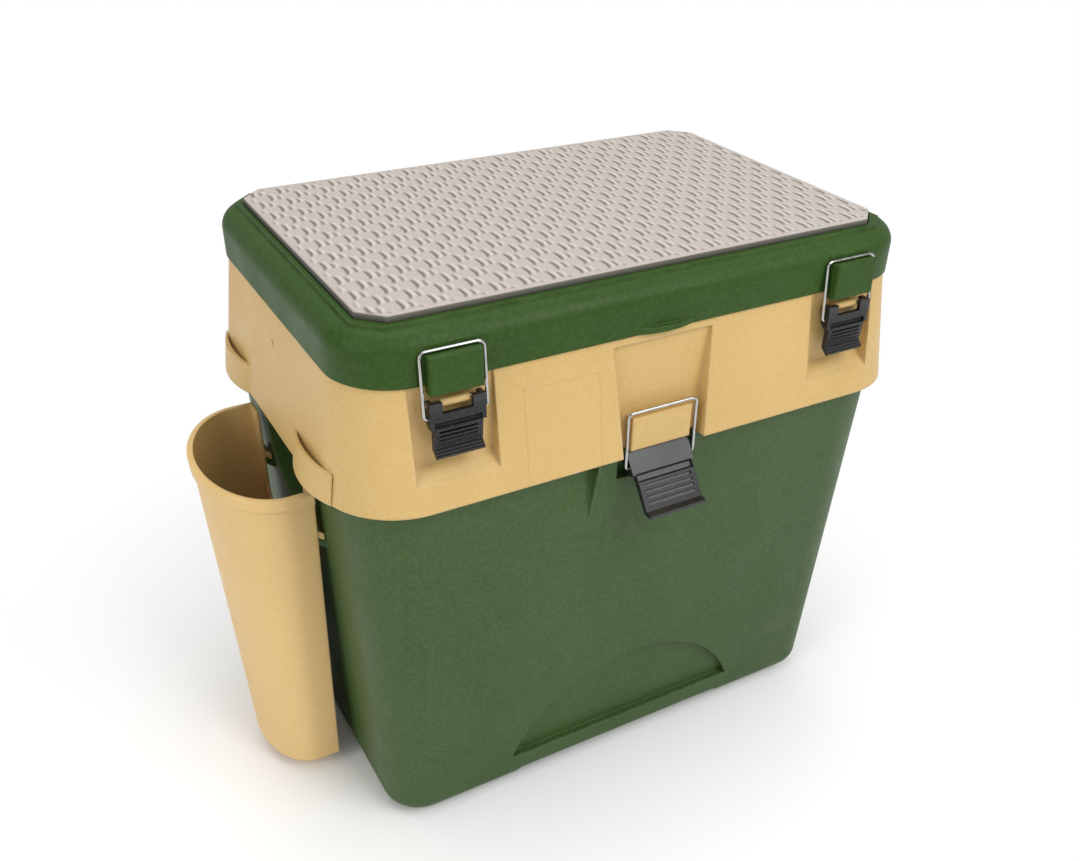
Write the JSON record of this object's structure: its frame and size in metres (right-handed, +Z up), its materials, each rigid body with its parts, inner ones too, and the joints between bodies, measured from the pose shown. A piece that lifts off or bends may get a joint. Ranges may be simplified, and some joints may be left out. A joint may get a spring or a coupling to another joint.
{
  "type": "fishing seat box",
  "caption": "Seat box of moulded plastic: tapered lower box, flared hinged tray, padded lid, draw latches, strap slots, side hand grips and a lift-off side pocket.",
  "frame": {"origin": "on the floor, under the middle of the overall plan, pocket and hinges included", "axes": "+X to the right along the long side, -Y towards the latches, +Z up"},
  "size_m": [0.4486, 0.2968, 0.37],
  "materials": {
    "green_plastic": "satin moulded polypropylene",
    "tan_plastic": "satin moulded polypropylene",
    "black_plastic": "satin moulded nylon",
    "steel_wire": "bright zinc plated steel wire",
    "pad_foam": "embossed closed cell foam",
    "foot_rubber": "dark rubber"
  },
  "bodies": {
    "lower_box": {"lower_box": "green_plastic", "foot_front_left": "foot_rubber", "foot_front_right": "foot_rubber", "foot_rear_left": "foot_rubber", "foot_rear_right": "foot_rubber", "tray_hinge_pin_left": "steel_wire", "tray_hinge_pin_right": "steel_wire", "centre_latch_pin": "steel_wire"},
    "upper_tray": {"upper_tray": "tan_plastic", "lid_hinge_pin_left": "steel_wire", "lid_hinge_pin_right": "steel_wire", "left_latch_pin": "steel_wire", "right_latch_pin": "steel_wire"},
    "lid": {"lid": "green_plastic", "seat_pad": "pad_foam"},
    "side_pocket": {"side_pocket": "tan_plastic"},
    "left_lever": {"left_latch_lever": "black_plastic"},
    "left_bail": {"left_latch_bail": "steel_wire"},
    "right_lever": {"right_latch_lever": "black_plastic"},
    "right_bail": {"right_latch_bail": "steel_wire"},
    "centre_lever": {"centre_latch_lever": "black_plastic"},
    "centre_bail": {"centre_latch_bail": "steel_wire"}
  },
  "joints": [
    {"name": "tray_hinge", "type": "hinge", "parent": "lower_box", "child": "upper_tray", "pos_m": [0.02203, 0.14421, 0.263], "axis": [-1, 0, 0], "range_deg": [0, 90]},
    {"name": "lid_hinge", "type": "hinge", "parent": "upper_tray", "child": "lid", "pos_m": [0.02203, 0.13521, 0.336], "axis": [-1, 0, 0], "range_deg": [0, 100]},
    {"name": "left_lever_turn", "type": "hinge", "parent": "upper_tray", "child": "left_lever", "pos_m": [-0.10997, -0.12199, 0.3255], "axis": [-1, 0, 0], "range_deg": [0, 100]},
    {"name": "left_bail_turn", "type": "hinge", "parent": "left_lever", "child": "left_bail", "pos_m": [-0.10997, -0.12438, 0.31892], "axis": [-1, 0, 0], "range_deg": [-110, 0]},
    {"name": "right_lever_turn", "type": "hinge", "parent": "upper_tray", "child": "right_lever", "pos_m": [0.15403, -0.12199, 0.3255], "axis": [-1, 0, 0], "range_deg": [0, 100]},
    {"name": "right_bail_turn", "type": "hinge", "parent": "right_lever", "child": "right_bail", "pos_m": [0.15403, -0.12438, 0.31892], "axis": [-1, 0, 0], "range_deg": [-110, 0]},
    {"name": "centre_lever_turn", "type": "hinge", "parent": "lower_box", "child": "centre_lever", "pos_m": [0.02203, -0.11899, 0.2565], "axis": [-1, 0, 0], "range_deg": [-38, 62]},
    {"name": "centre_bail_turn", "type": "hinge", "parent": "centre_lever", "child": "centre_bail", "pos_m": [0.02203, -0.12492, 0.25279], "axis": [-1, 0, 0], "range_deg": [-68.2, 41.8]},
    {"name": "pocket_lift_off", "type": "slide", "parent": "lower_box", "child": "side_pocket", "axis": [-0.766, 0, 0.6428], "range_m": [0, 0.09]}
  ],
  "couplings": [
    {"joint": "left_bail_turn", "follows": "left_lever_turn", "ratio": -1.1},
    {"joint": "right_bail_turn", "follows": "right_lever_turn", "ratio": -1.1},
    {"joint": "centre_bail_turn", "follows": "centre_lever_turn", "ratio": -1.1}
  ]
}
